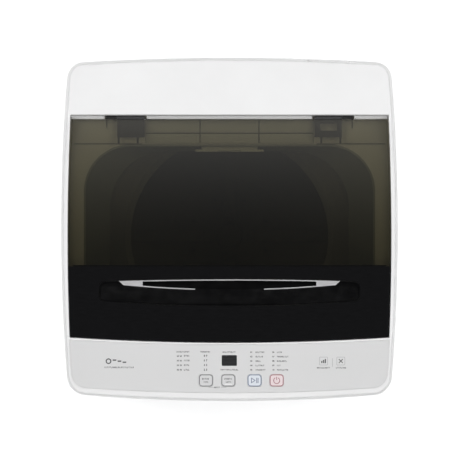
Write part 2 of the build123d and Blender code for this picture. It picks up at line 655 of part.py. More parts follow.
def suspension_springs():
    """Coil springs between each rod's lower plate and the tub's damper cap."""
    low, high, wire, r = ROD_Z[0] + 4, 278.0, 1.8, 12.4
    helix = Helix(pitch=9.5, height=high - low - 2 * wire - 0.2, radius=r)
    start = Plane(origin=helix @ 0, z_dir=helix % 0)
    coil = sweep(start * Circle(wire), path=helix, is_frenet=True)
    return Compound([Pos(x, y, low + wire + 0.1) * coil for x, y in corners()])


def damper_caps():
    """Cups that slide on the rods under the tub's ears, round the springs."""
    made = []
    for x, y in corners():
        cap = rod_z(x, y, 222, 282, 19) - rod_z(x, y, 221, 278, 16.5)
        made.append(cap - rod_z(x, y, 270, 290, ROD_R + 0.3))
    return Compound(made)


# ---------------------------------------------------------------- tub unit
def outer_tub():
    tub = turned([
        (28, TUB_BOTTOM), (TUB_R - 8, TUB_BOTTOM), (TUB_R, TUB_BOTTOM + 8), (TUB_R, TUB_TOP),
        (TUB_R - WALL, TUB_TOP), (TUB_R - WALL, TUB_BOTTOM + 9),
        (TUB_R - 9, TUB_BOTTOM + 4), (28, TUB_BOTTOM + 4),
    ])
    for z in (420, 600):                        # stiffening hoops
        tub += axis_ring(z, z + 8, TUB_R + 4, TUB_R - 1)
    for x, y in corners():                      # ears that rest on the damper caps
        angle = math.degrees(math.atan2(y - AXIS_Y, x))
        ear = Pos(0, AXIS_Y, 0) * Rot(0, 0, angle) * block(TUB_R - 2, 300, -20, 20, 282, 296)
        tub += ear + rod_z(x, y, 282, 296, 20)
        tub -= rod_z(x, y, 280, 300, ROD_R + 2)
    chamber = block(206, 238, -13, 13, 216, 248)            # air chamber of the water level sensor
    chamber -= axis_ring(200, 260, TUB_R - 1, 0.5).moved(Pos(0, -AXIS_Y, 0))
    tub += Pos(0, AXIS_Y, 0) * Rot(0, 0, math.degrees(math.atan2(178 - AXIS_Y, -131))) * chamber
    return tub - rod_z(DRAIN_X, AXIS_Y + 60, TUB_BOTTOM - 1, TUB_BOTTOM + 5, 13)


def tub_cover():
    """Ring that snaps over the tub's rim and keeps the wash inside."""
    return turned([
        (176, 736), (180, TUB_TOP + 0.2), (TUB_R + 0.4, TUB_TOP + 0.2), (TUB_R + 0.4, 712), (TUB_R + 3, 712),
        (TUB_R + 3, 734), (212, 737), (184, 742), (176, 742),
    ])


def support_plate():
    """Steel plate under the tub that carries the drive, with the brake lever's headed pin."""
    plate = round_block(-215, 108, AXIS_Y - 68, AXIS_Y + 68, PLATE_Z, TUB_BOTTOM, 14)
    plate += round_block(60, 176, AXIS_Y - 138, AXIS_Y - 40, PLATE_Z, TUB_BOTTOM, 14)
    plate += rod_z(*BRAKE_PIVOT, 114, PLATE_Z, 4) + rod_z(*BRAKE_PIVOT, 110, 114, 7)
    return plate - rod_z(0, AXIS_Y, PLATE_Z - 1, TUB_BOTTOM + 1, 28.2)


def clutch_housing():
    body = axis_ring(140, 196, 42, BEARING_R)
    body += axis_ring(196, PLATE_Z, 60, BEARING_R)
    return body + axis_ring(PLATE_Z, 214, 27.5, BEARING_R)


def bearings():
    made = []
    for z in (146, 182):
        ring = axis_ring(z, z + 14, BEARING_R, SPIN_SHAFT_R + RUNNING)
        groove = turned([(15.5, z - 1), (17.5, z - 1), (17.5, z + 1), (15.5, z + 1)])
        made.append(ring - groove)
    return Compound(made)


def tub_seal():
    bore = SPIN_SHAFT_R + RUNNING
    return turned([(bore, 206), (BEARING_R, 202), (BEARING_R, 213), (bore, 211)])


def spin_shaft():
    """Hollow shaft with the notched wheel that the brake lever holds."""
    shaft = axis_ring(116, 136, 34, SPIN_SHAFT_R - 2)
    for i in range(16):
        angle = math.radians(360 / 16 * i + 11.25)
        shaft -= rod_z(35 * math.cos(angle), AXIS_Y + 35 * math.sin(angle), 115, 137, 2.5)
    shaft += rod_z(0, AXIS_Y, 112, 256, SPIN_SHAFT_R)
    return shaft - rod_z(0, AXIS_Y, 111, 263, WASH_SHAFT_R + RUNNING)


def wash_shaft():
    return rod_z(0, AXIS_Y, 78, 287, WASH_SHAFT_R)


def grooved_wheel(x, r, z0, height, bore):
    """Belt pulley with a plain groove."""
    wheel = ring_z(x, AXIS_Y, z0, z0 + height, r, bore)
    return wheel - ring_z(x, AXIS_Y, z0 + 4.5, z0 + height - 4.5, r + 1, r - GROOVE)


def driven_pulley():
    wheel = grooved_wheel(0, PULLEY_R, PULLEY_Z, PULLEY_H, WASH_SHAFT_R)
    for i in range(6):                          # lightening windows between the spokes
        angle = math.radians(60 * i)
        x, y = 48 * math.cos(angle), AXIS_Y + 48 * math.sin(angle)
        wheel -= rod_z(x, y, PULLEY_Z - 1, PULLEY_Z + PULLEY_H + 1, 17)
    return wheel + axis_ring(82, PULLEY_Z, 18, WASH_SHAFT_R)


def drive_belt():
    """Loop round both pulleys, clear of the bottoms of their grooves."""
    def loop(grow):
        big, small = PULLEY_R - GROOVE + grow, MOTOR_PULLEY_R - GROOVE + grow
        lean = math.acos((big - small) / abs(MOTOR_X))
        points = []
        for x, r in ((0, big), (MOTOR_X, small)):
            points.append((x - r * math.cos(lean), r * math.sin(lean)))
        (x0, y0), (x1, y1) = points
        return make_face([
            ThreePointArc((x0, -y0), (big, 0), (x0, y0)), Line((x0, y0), (x1, y1)),
            ThreePointArc((x1, y1), (MOTOR_X - small, 0), (x1, -y1)), Line((x1, -y1), (x0, -y0)),
        ])
    z0, z1 = PULLEY_Z + 5, PULLEY_Z + PULLEY_H - 5
    belt = column(loop(BELT_SLACK + BELT_T), z0, z1) - column(loop(BELT_SLACK), z0, z1)
    return Pos(0, AXIS_Y, 0) * belt


def wash_motor():
    body = ring_z(MOTOR_X, AXIS_Y, 120, 190, 55, 6 + RUNNING)
    body = chamfer(body.edges().filter_by(GeomType.CIRCLE).filter_by(lambda e: e.radius > 50), 4)
    for y in (-44, 44):
        body += rod_z(MOTOR_X, AXIS_Y + y, 180, PLATE_Z, 6)
    for z in range(134, 176, 8):                # cooling fins
        body += ring_z(MOTOR_X, AXIS_Y, z, z + 2, 57, 50)
    return body


def motor_pulley():
    wheel = grooved_wheel(MOTOR_X, MOTOR_PULLEY_R, PULLEY_Z, PULLEY_H, 4)
    return wheel + rod_z(MOTOR_X, AXIS_Y, 84, 186, 6)


# ---------------------------------------------------------------- drain valve and brake release
def drain_valve():
    y = AXIS_Y
    body = rod_y(DRAIN_X, DRAIN_Z, y + 20, y + 100, 22) + rod_z(DRAIN_X, y + 60, DRAIN_Z, TUB_BOTTOM, 17)
    body += rod_y(DRAIN_X, DRAIN_Z, y + 100, y + 128, 14)
    body -= rod_y(DRAIN_X, DRAIN_Z, y + 19, y + 90, 17)
    body -= rod_z(DRAIN_X, y + 60, DRAIN_Z, TUB_BOTTOM + 1, 13)
    return body - rod_y(DRAIN_X, DRAIN_Z, y + 80, y + 130, 11)


def valve_plunger():
    """Rubber bellows that closes the valve's seat."""
    y = AXIS_Y
    plunger = rod_y(DRAIN_X, DRAIN_Z, y + 50, y + 89.5, 12)
    for start in (50, 61, 72, 83.5):
        plunger += rod_y(DRAIN_X, DRAIN_Z, y + start, y + start + 6, 16)
    return plunger


def pull_rod():
    """Rod from the traction motor to the plunger, with the peg that swings the brake lever."""
    y = AXIS_Y
    rod = rod_y(DRAIN_X, DRAIN_Z, y - 92, y + 50, 3)
    px, py = BRAKE_PIVOT[0] + 70, BRAKE_PIVOT[1] + 7.5
    rod += rod_z(px, py, 116, DRAIN_Z + 3, 3)
    return rod + block(px - 3, DRAIN_X, py - 3, py + 3, DRAIN_Z - 3, DRAIN_Z + 3)


def traction_motor():
    body = round_block(112, 168, AXIS_Y - 132, AXIS_Y - 72, 140, PLATE_Z, 6)
    return body - rod_y(DRAIN_X, DRAIN_Z, AXIS_Y - 112, AXIS_Y - 60, 3.6)


def brake_lever():
    """Lever whose pawl stands in a notch of the brake wheel."""
    px, py = BRAKE_PIVOT
    lever = rod_z(px, py, 118, 134, 9) + block(px, px + 74, py - 4, py + 4, 118, 134)
    tip = (36.4, AXIS_Y - 3.6)
    length = math.hypot(px - tip[0], py - tip[1])
    angle = math.degrees(math.atan2(tip[1] - py, tip[0] - px))
    lever += Pos(px, py, 126) * Rot(0, 0, angle) * block(0, length, -3, 3, -8, 8)
    return lever - rod_z(px, py, 110, 140, 4 + RUNNING)


def inner_drain_hose():
    """Hose between the valve and the outlet in the rear panel, corrugated in the middle."""
    y0, y1 = AXIS_Y + 102, 222
    hose = rod_y(DRAIN_X, DRAIN_Z, y0, y1, 16.3)
    for i in range(10):
        hose += rod_y(DRAIN_X, DRAIN_Z, 126 + 8 * i, 130 + 8 * i, 18.5)
    return hose - rod_y(DRAIN_X, DRAIN_Z, y0 - 1, y1 + 1, 14.3)


# ---------------------------------------------------------------- basket and pulsator
def basket_wall():
    def side(r, flip):
        points = [
            (r, 252), (r, 296), (r + 2, 300), (r, 304), (r, 636), (r + 2, 640), (r, 644), (r, BASKET_TOP),
        ]
        return points[::-1] if flip else points
    return turned(side(BASKET_R, False) + side(BASKET_R - BASKET_T, True))


def basket_base():
    """Plastic floor of the basket, dished to take the pulsator."""
    r = BASKET_R - BASKET_T
    return turned([
        (SPIN_SHAFT_R, 240), (r, 240), (r, 278), (172, 268), (168, 256), (SPIN_SHAFT_R, 256),
    ])


def balance_ring():
    """Fluid-filled ring that caps the basket."""
    a, b = BALANCE_IN, BALANCE_OUT
    snug = BASKET_R - BASKET_T - 0.2
    outer = turned([
        (a + 4, 680), (snug, 680), (snug, BASKET_TOP + 0.2), (b, BASKET_TOP + 0.2), (b, 716), (b - 6, 722),
        (a + 9, 722), (a, 714), (a, 690),
    ])
    wide = BASKET_R - 5
    return outer - turned([(a + 6, 686), (wide, 686), (wide, 714), (a + 10, 714), (a + 5, 708)])


def basket_hub():
    """Steel flange between the spin shaft and the basket."""
    hub = axis_ring(232, 240, 70, SPIN_SHAFT_R) + axis_ring(222, 232, 22, SPIN_SHAFT_R)
    for i in range(6):
        angle = math.radians(60 * i + 30)
        hub -= rod_z(46 * math.cos(angle), AXIS_Y + 46 * math.sin(angle), 230, 241, 9)
    return hub


def lint_filters():
    """Two lint bags in frames, clipped inside the basket wall."""
    made = []
    for angle in (25, 205):
        frame = axis_ring(520, 640, BASKET_R - BASKET_T - 0.2, 178)
        frame &= block(150, 210, AXIS_Y - 34, AXIS_Y + 34, 500, 660)
        frame -= axis_ring(528, 632, 192, 180) & block(150, 210, AXIS_Y - 28, AXIS_Y + 28, 500, 660)
        for z in range(540, 630, 16):           # slots in its inner face
            frame -= block(150, 185, AXIS_Y - 22, AXIS_Y + 22, z, z + 8)
        made.append(Pos(0, AXIS_Y, 0) * Rot(0, 0, angle) * Pos(0, -AXIS_Y, 0) * frame)
    return Compound(made)


def pulsator():
    disc = turned([
        (0, 258), (162, 258), (162, 264), (150, 268), (90, 272), (45, 284), (24, 290), (0, 290),
    ])
    for i in range(4):                          # wash vanes, curved up towards the rim
        vane = turned([(28, 262), (156, 262), (156, 270), (120, 286), (80, 294), (40, 294), (28, 288)])
        wedge = Pos(0, AXIS_Y, 0) * Rot(0, 0, 90 * i) * block(20, 170, -9, 9, 250, 300)
        vane &= wedge
        disc += vane
    for ring_r, count in ((60, 8), (115, 16)):  # drain holes
        for i in range(count):
            angle = math.radians(360 / count * (i + 0.5))
            disc -= rod_z(ring_r * math.cos(angle), AXIS_Y + ring_r * math.sin(angle), 250, 300, 3)
    cap = rod_z(0, AXIS_Y, 289, 297, 20)
    disc += fillet(cap.faces().sort_by(Axis.Z)[-1].edges(), 4)
    return disc - rod_z(0, AXIS_Y, 257, 287, WASH_SHAFT_R)


NODES = {
    "top_cover": top_cover, "laundry_funnel": laundry_funnel, "control_panel": control_panel,
    "display_window": display_window, "control_board": control_board,
    "dispenser_housing": dispenser_housing, "detergent_drawer": detergent_drawer,
    "inlet_valve": inlet_valve, "pressure_switch": pressure_switch, "air_tube": air_tube,
    "lid_window": lid_window, "lid_front_panel": lid_front_panel, "handle_cup": handle_cup,
    "handle_trim": handle_trim, "hinge_arms": hinge_arms, "hinge_brackets": hinge_brackets,
    "lid_bumpers": lid_bumpers,
    "cabinet_shell": cabinet_shell, "rear_panel": rear_panel, "rear_panel_screws": rear_panel_screws,
    "side_grips": side_grips, "base_frame": base_frame, "rear_feet": rear_feet,
    "foot_lock_nuts": foot_lock_nuts, "drain_outlet": drain_outlet, "cord_gland": cord_gland,
    "suspension_brackets": suspension_brackets, "suspension_rods": suspension_rods,
    "suspension_springs": suspension_springs, "damper_caps": damper_caps,
    "outer_tub": outer_tub, "tub_cover": tub_cover, "support_plate": support_plate,
    "clutch_housing": clutch_housing, "bearings": bearings, "tub_seal": tub_seal,
    "spin_shaft": spin_shaft, "wash_shaft": wash_shaft,
    "driven_pulley": driven_pulley, "drive_belt": drive_belt, "wash_motor": wash_motor,
    "motor_pulley": motor_pulley, "drain_valve": drain_valve, "valve_plunger": valve_plunger,
    "pull_rod": pull_rod, "traction_motor": traction_motor, "brake_lever": brake_lever,
    "inner_drain_hose": inner_drain_hose,
    "basket_wall": basket_wall, "basket_base": basket_base, "balance_ring": balance_ring,
    "basket_hub": basket_hub, "lint_filters": lint_filters,
    "pulsator": pulsator,
}


def main():
    os.makedirs("parts", exist_ok=True)
    for name, make in NODES.items():
        export_step(make(), f"parts/{name}.step")
    for name, x in KEYS:
        export_step(key(x), f"parts/{name}_key.step")
    for name, side in (("left", -1), ("right", 1)):
        export_step(front_foot(side), f"parts/front_foot_{name}.step")


main()
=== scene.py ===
import bmesh
import bpy
import math
import random
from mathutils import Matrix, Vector

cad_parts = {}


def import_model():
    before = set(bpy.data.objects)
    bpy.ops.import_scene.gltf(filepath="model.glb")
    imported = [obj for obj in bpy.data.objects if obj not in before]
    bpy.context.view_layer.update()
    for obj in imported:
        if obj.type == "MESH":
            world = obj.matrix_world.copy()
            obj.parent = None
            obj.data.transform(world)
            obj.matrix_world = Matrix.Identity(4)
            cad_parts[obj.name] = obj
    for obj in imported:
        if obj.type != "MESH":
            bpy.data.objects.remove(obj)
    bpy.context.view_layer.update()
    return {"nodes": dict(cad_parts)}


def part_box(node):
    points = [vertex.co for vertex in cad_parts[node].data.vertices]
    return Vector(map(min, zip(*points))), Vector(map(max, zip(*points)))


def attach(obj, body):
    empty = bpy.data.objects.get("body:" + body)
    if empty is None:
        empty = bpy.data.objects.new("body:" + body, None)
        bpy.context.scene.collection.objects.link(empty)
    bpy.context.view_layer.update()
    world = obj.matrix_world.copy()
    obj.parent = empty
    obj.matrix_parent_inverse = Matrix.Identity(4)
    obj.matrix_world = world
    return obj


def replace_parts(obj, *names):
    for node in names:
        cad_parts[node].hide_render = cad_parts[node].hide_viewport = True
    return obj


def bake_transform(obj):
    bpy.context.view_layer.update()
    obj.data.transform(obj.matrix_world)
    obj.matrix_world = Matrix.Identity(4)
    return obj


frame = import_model()
NODES = frame["nodes"]
MM = 0.001

# Front console surface: it starts at the lid's front edge and falls towards the user.
TILT = math.radians(4.9)
PANEL_REAR_Y = -0.160
PANEL_REAR_Z = 0.8675
PANEL_ORIGIN = Vector((0.0, PANEL_REAR_Y, PANEL_REAR_Z))
PANEL_ALONG = Vector((0.0, math.cos(TILT), math.sin(TILT)))
PANEL_NORMAL = Vector((0.0, -math.sin(TILT), math.cos(TILT)))

# Vertical axis of the tub and basket, in plan.
AXIS_Y = -0.010


# ------------------------------------------------------------------ materials
def tree(name):
    """A new material with its node tree, its Principled shader and its output."""
    m = bpy.data.materials.new(name)
    m.use_nodes = True
    nt = m.node_tree
    nt.nodes.clear()
    out = nt.nodes.new("ShaderNodeOutputMaterial")
    b = nt.nodes.new("ShaderNodeBsdfPrincipled")
    nt.links.new(b.outputs[0], out.inputs[0])
    return m, nt, b, out


def coords(nt, stretch=(1, 1, 1)):
    """Object coordinates, finer along each axis by its stretch."""
    tc = nt.nodes.new("ShaderNodeTexCoord")
    mp = nt.nodes.new("ShaderNodeMapping")
    mp.inputs["Scale"].default_value = stretch
    nt.links.new(tc.outputs["Object"], mp.inputs[0])
    return mp.outputs[0]


def noise(nt, vec, scale, detail=3.0, rough=0.55):
    n = nt.nodes.new("ShaderNodeTexNoise")
    n.inputs["Scale"].default_value = scale
    n.inputs["Detail"].default_value = detail
    n.inputs["Roughness"].default_value = rough
    nt.links.new(vec, n.inputs["Vector"])
    return n.outputs[0]


def span(nt, value, lo, hi, a=0.0, b=1.0):
    """value from a..b mapped to lo..hi."""
    r = nt.nodes.new("ShaderNodeMapRange")
    r.inputs[1].default_value = a
    r.inputs[2].default_value = b
    r.inputs[3].default_value = lo
    r.inputs[4].default_value = hi
    nt.links.new(value, r.inputs[0])
    return r.outputs[0]


def two_tone(nt, value, c0, c1, a=0.3, b=0.7):
    """A colour between c0 and c1 as value goes from a to b."""
    r = nt.nodes.new("ShaderNodeValToRGB")
    r.color_ramp.elements[0].position = a
    r.color_ramp.elements[1].position = b
    r.color_ramp.elements[0].color = (*c0, 1)
    r.color_ramp.elements[1].color = (*c1, 1)
    nt.links.new(value, r.inputs[0])
    return r.outputs[0]


def bump(nt, height, strength, distance, b):
    n = nt.nodes.new("ShaderNodeBump")
    n.inputs["Strength"].default_value = strength
    n.inputs["Distance"].default_value = distance
    nt.links.new(height, n.inputs["Height"])
    nt.links.new(n.outputs[0], b.inputs["Normal"])


def tint(c, k):
    return tuple(min(1.0, x * k) for x in c)


def plastic(name, rgb, rough=0.4, grain=0.25, grain_scale=1900.0, vary=0.03, spec=0.5):
    """Moulded plastic: spark-eroded grain, a little flow mottling, and roughness that drifts."""
    m, nt, b, _ = tree(name)
    v = coords(nt)
    broad = noise(nt, v, 9.0, 4.0)
    fine = noise(nt, v, grain_scale, 2.0)
    mid = noise(nt, v, 70.0, 3.0)
    tone = two_tone(nt, broad, tint(rgb, 1 - vary), tint(rgb, 1 + vary * 0.5))
    nt.links.new(tone, b.inputs["Base Color"])
    nt.links.new(span(nt, mid, rough - 0.05, rough + 0.06, 0.3, 0.7), b.inputs["Roughness"])
    bump(nt, fine, grain, 0.00006, b)
    b.inputs["Specular IOR Level"].default_value = spec
    return m


def gloss_black(name, rgb=(0.0035, 0.0035, 0.0038), rough=0.06):
    """Polished black plastic: slight orange peel and fine wipe marks."""
    m, nt, b, _ = tree(name)
    v = coords(nt)
    wipe = noise(nt, coords(nt, (1.0, 9.0, 1.0)), 60.0, 6.0, 0.7)
    peel = noise(nt, v, 220.0, 2.0)
    nt.links.new(two_tone(nt, wipe, rgb, tint(rgb, 1.9)), b.inputs["Base Color"])
    nt.links.new(span(nt, wipe, rough, rough + 0.07, 0.45, 0.75), b.inputs["Roughness"])
    bump(nt, peel, 0.05, 0.0001, b)
    b.inputs["Specular IOR Level"].default_value = 0.36
    return m


def paint(name, rgb, rough=0.33):
    """Powder coat on sheet steel: orange peel over a faint broad unevenness."""
    m, nt, b, _ = tree(name)
    v = coords(nt)
    peel = noise(nt, v, 520.0, 2.0)
    broad = noise(nt, v, 5.0, 3.0)
    nt.links.new(two_tone(nt, broad, tint(rgb, 0.975), tint(rgb, 1.01)), b.inputs["Base Color"])
    nt.links.new(span(nt, noise(nt, v, 34.0), rough - 0.05, rough + 0.06, 0.3, 0.7), b.inputs["Roughness"])
    bump(nt, peel, 0.18, 0.00012, b)
    b.inputs["Coat Weight"].default_value = 0.25
    b.inputs["Coat Roughness"].default_value = 0.15
    return m


def zinc(name, rgb=(0.52, 0.54, 0.56)):
    """Galvanised sheet with its spangle."""
    m, nt, b, _ = tree(name)
    v = coords(nt)
    cells = nt.nodes.new("ShaderNodeTexVoronoi")
    cells.inputs["Scale"].default_value = 150.0
    nt.links.new(v, cells.inputs["Vector"])
    bw = nt.nodes.new("ShaderNodeRGBToBW")
    nt.links.new(cells.outputs["Color"], bw.inputs[0])
    tone = two_tone(nt, bw.outputs[0], tint(rgb, 0.92), tint(rgb, 1.07), 0.1, 0.9)
    nt.links.new(tone, b.inputs["Base Color"])
    nt.links.new(span(nt, bw.outputs[0], 0.34, 0.52), b.inputs["Roughness"])
    b.inputs["Metallic"].default_value = 0.85
    bump(nt, noise(nt, v, 300.0, 2.0), 0.1, 0.0001, b)
    return m


def metal(name, rgb, rough, stretch, scale=40.0, grain=0.12, vary=0.1):
    """Metal with a directional finish. stretch is along the finish's short way."""
    m, nt, b, _ = tree(name)
    lines = noise(nt, coords(nt, stretch), scale, 6.0, 0.65)
    tone = two_tone(nt, lines, tint(rgb, 1 - vary), tint(rgb, 1 + vary * 0.5))
    nt.links.new(tone, b.inputs["Base Color"])
    nt.links.new(span(nt, lines, rough - 0.05, rough + 0.09, 0.3, 0.7), b.inputs["Roughness"])
    b.inputs["Metallic"].default_value = 1.0
    bump(nt, lines, grain, 0.00005, b)
    return m


def cast(name, rgb):
    """Die-cast metal with a blasted surface."""
    m, nt, b, _ = tree(name)
    v = coords(nt)
    n = noise(nt, v, 420.0, 4.0, 0.7)
    nt.links.new(two_tone(nt, n, tint(rgb, 0.8), tint(rgb, 1.1)), b.inputs["Base Color"])
    nt.links.new(span(nt, n, 0.42, 0.6), b.inputs["Roughness"])
    b.inputs["Metallic"].default_value = 0.9
    bump(nt, n, 0.35, 0.0002, b)
    return m


def rubber(name, rgb):
    """Moulded rubber with a little dust."""
    m, nt, b, _ = tree(name)
    v = coords(nt)
    n = noise(nt, v, 900.0, 3.0)
    dust = noise(nt, v, 40.0, 4.0)
    nt.links.new(two_tone(nt, dust, rgb, tint(rgb, 1.5), 0.4, 0.8), b.inputs["Base Color"])
    nt.links.new(span(nt, dust, 0.62, 0.8), b.inputs["Roughness"])
    bump(nt, n, 0.3, 0.0001, b)
    b.inputs["Specular IOR Level"].default_value = 0.3
    return m


def graded(nt, lo, hi):
    """0 at the window's front edge, 1 at its hinge edge."""
    tc = nt.nodes.new("ShaderNodeTexCoord")
    sep = nt.nodes.new("ShaderNodeSeparateXYZ")
    nt.links.new(tc.outputs["Object"], sep.inputs[0])
    return span(nt, sep.outputs[1], 0.0, 1.0, lo, hi)


def raised(nt, value, power):
    m = nt.nodes.new("ShaderNodeMath")
    m.operation = "POWER"
    m.inputs[1].default_value = power
    nt.links.new(value, m.inputs[0])
    return m.outputs[0]


def mixed(nt, amount, first, second):
    """Two shaders, going from the first to the second with amount."""
    mix = nt.nodes.new("ShaderNodeMixShader")
    nt.links.new(amount, mix.inputs[0])
    nt.links.new(first, mix.inputs[1])
    nt.links.new(second, mix.inputs[2])
    return mix.outputs[0]


def smoked(name, front, rear, painted_reflection, rough=0.04):
    """Smoked clear plastic, darker and clearer towards its front edge; the deeper tint towards the front is
    painted shade.

    Each surface passes a colour between front and rear, mirrors a little, and mixes in a white diffuse
    layer, strongest at its hinge edge, as a painted reflection; the third argument sets its strength there.
    """
    m, nt, b, out = tree(name)
    lo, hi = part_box("lid_window")
    painted_light_ramp = graded(nt, lo.y, hi.y)
    clear = nt.nodes.new("ShaderNodeBsdfTransparent")
    # The tint runs from the front colour to the rear one; its deepening towards the front edge is painted
    # shade.
    nt.links.new(two_tone(nt, painted_light_ramp, front, rear, 0.0, 1.0), clear.inputs[0])
    b.inputs["Base Color"].default_value = (0.9, 0.9, 0.9, 1)
    b.inputs["Metallic"].default_value = 1.0
    wipe = noise(nt, coords(nt, (1.0, 7.0, 1.0)), 50.0, 6.0, 0.7)
    nt.links.new(span(nt, wipe, rough, rough + 0.05, 0.45, 0.75), b.inputs["Roughness"])
    edge = nt.nodes.new("ShaderNodeLayerWeight")
    edge.inputs["Blend"].default_value = 0.5
    mirror = span(nt, raised(nt, edge.outputs["Facing"], 5.0), 0.03, 0.9)
    # White diffuse layer mixed in up to the hinge edge: a painted reflection.
    painted_reflection_bsdf = nt.nodes.new("ShaderNodeBsdfDiffuse")
    painted_reflection_bsdf.inputs["Color"].default_value = (1.0, 1.0, 1.0, 1)
    surface = mixed(nt, mirror, clear.outputs[0], b.outputs[0])
    surface = mixed(nt, span(nt, raised(nt, painted_light_ramp, 2.0), 0.0025, painted_reflection), surface, painted_reflection_bsdf.outputs[0])
    nt.links.new(surface, out.inputs[0])
    return m


def ink(name, rgb, rough=0.45):
    """Screen-printed ink: faint pinholes and an uneven edge to its density."""
    m, nt, b, _ = tree(name)
    n = noise(nt, coords(nt), 1500.0, 2.0)
    nt.links.new(two_tone(nt, n, tint(rgb, 0.92), tint(rgb, 1.12)), b.inputs["Base Color"])
    nt.links.new(span(nt, n, rough - 0.05, rough + 0.05), b.inputs["Roughness"])
    return m


def circuit(name):
    """Solder mask over rows of tracks."""
    m, nt, b, _ = tree(name)
    v = coords(nt)
    bricks = nt.nodes.new("ShaderNodeTexBrick")
    bricks.inputs["Scale"].default_value = 180.0
    bricks.inputs["Mortar Size"].default_value = 0.03
    bricks.inputs["Color1"].default_value = (0.015, 0.10, 0.045, 1)
    bricks.inputs["Color2"].default_value = (0.012, 0.08, 0.036, 1)
    bricks.inputs["Mortar"].default_value = (0.05, 0.22, 0.10, 1)
    nt.links.new(v, bricks.inputs["Vector"])
    nt.links.new(bricks.outputs[0], b.inputs["Base Color"])
    nt.links.new(span(nt, noise(nt, v, 300.0), 0.3, 0.5), b.inputs["Roughness"])
    return m


COVER = (0.86, 0.86, 0.86)
# Window tint at its front and rear edges: the darker front is painted shade.
WINDOW_FRONT = (0.430, 0.417, 0.355)
WINDOW_REAR = (0.565, 0.549, 0.474)
MATS = {
    "cover": plastic("cover_moulding", COVER, 0.40, 0.18, spec=0.12),
    "panel": plastic("panel_film", (0.69, 0.69, 0.69), 0.38, 0.10, 2600.0, 0.012),
    "key": plastic("key_cap", (0.67, 0.67, 0.675), 0.34, 0.08, 2600.0, 0.01),
    "key_blue": plastic("key_cap_blue", (0.72, 0.76, 0.81), 0.34, 0.08, 2600.0, 0.01),
    "key_red": plastic("key_cap_red", (0.80, 0.69, 0.70), 0.34, 0.08, 2600.0, 0.01),
    "display": gloss_black("display_lens", (0.020, 0.020, 0.021), 0.12),
    "board": circuit("circuit_board"),
    "white": plastic("inner_white", (0.70, 0.71, 0.71), 0.42, 0.2),
    "tub": plastic("tub_plastic", (0.33, 0.335, 0.34), 0.5, 0.3, 900.0, 0.05),
    "grey": plastic("grey_moulding", (0.16, 0.165, 0.17), 0.5, 0.4, 1200.0, 0.06),
    # The last value is the strength of the painted reflection at the hinge edge.
    "smoke": smoked("smoked_window", WINDOW_FRONT, WINDOW_REAR, 0.039),
    "gloss": gloss_black("gloss_black"),
    "cup": plastic("cup_black", (0.0022, 0.0022, 0.0024), 0.2, 0.12, 1500.0, 0.1, 0.2),
    "funnel": plastic("funnel_grey", (0.36, 0.385, 0.385), 0.45, 0.3, 1400.0, 0.03),
    "black": plastic("black_moulding", (0.012, 0.012, 0.012), 0.4, 0.4, 1300.0, 0.15),
    "arm": plastic("arm_grey", (0.05, 0.05, 0.052), 0.42, 0.4, 1300.0, 0.1),
    "chrome": metal("bright_trim", (0.78, 0.78, 0.79), 0.32, (1, 30, 1), 60.0, 0.05, 0.05),
    "paint": paint("cabinet_paint", (0.77, 0.77, 0.77)),
    "zinc": zinc("zinc_sheet"),
    "steel": metal("plain_steel", (0.55, 0.55, 0.55), 0.32, (1, 1, 25)),
    "stainless": metal("stainless", (0.62, 0.62, 0.61), 0.22, (1, 1, 60), 30.0, 0.08),
    "bearing": metal("ground_steel", (0.66, 0.66, 0.68), 0.14, (1, 1, 50)),
    "alloy": cast("cast_alloy", (0.50, 0.51, 0.52)),
    "motor": paint("motor_paint", (0.03, 0.03, 0.033), 0.42),
    "rubber": rubber("black_rubber", (0.018, 0.018, 0.018)),
    "hose": rubber("grey_rubber", (0.11, 0.11, 0.115)),
    "ink": ink("ink_grey", (0.10, 0.10, 0.105)),
    "ink_soft": ink("ink_soft", (0.32, 0.32, 0.325)),
    "ink_dark": ink("ink_dark", (0.06, 0.06, 0.062)),
    "ink_blue": ink("ink_blue", (0.085, 0.115, 0.22)),
    "ink_red": ink("ink_red", (0.31, 0.065, 0.090)),
    "ink_white": ink("ink_white", (0.78, 0.78, 0.78)),
    # Near-black strips for the deck's creases: painted shadow where the grooves lie in shade.
    "crease_shade": rubber("painted_crease_shade", (0.03, 0.03, 0.03)),
}
WEAR = {
    "cover": ["top_cover", "side_grips"],
    "funnel": ["laundry_funnel"],
    "panel": ["control_panel"],
    "key": ["water_level_key", "program_key"],
    "key_blue": ["start_pause_key"],
    "key_red": ["power_key"],
    "display": ["display_window"],
    "board": ["control_board"],
    "white": ["dispenser_housing", "detergent_drawer", "inlet_valve", "pressure_switch", "lint_filters"],
    "tub": ["outer_tub", "tub_cover", "basket_base", "balance_ring", "pulsator"],
    "grey": ["base_frame", "drain_outlet", "damper_caps", "drain_valve", "brake_lever"],
    "smoke": ["lid_window"],
    "gloss": ["lid_front_panel"],
    "cup": ["handle_cup"],
    "arm": ["hinge_arms"],
    "black": ["hinge_brackets", "cord_gland", "traction_motor"],
    "chrome": ["handle_trim"],
    "paint": ["cabinet_shell"],
    "zinc": ["rear_panel", "suspension_brackets", "support_plate"],
    "steel": ["rear_panel_screws", "foot_lock_nuts", "suspension_rods", "suspension_springs", "pull_rod",
              "basket_hub"],
    "stainless": ["basket_wall", "spin_shaft", "wash_shaft"],
    "bearing": ["bearings"],
    "alloy": ["clutch_housing", "driven_pulley", "motor_pulley"],
    "motor": ["wash_motor"],
    "rubber": ["rear_feet", "front_foot_left", "front_foot_right", "lid_bumpers", "drive_belt", "tub_seal"],
    "hose": ["air_tube", "valve_plunger", "inner_drain_hose"],
}
EDGE_ANGLE = math.radians(32)
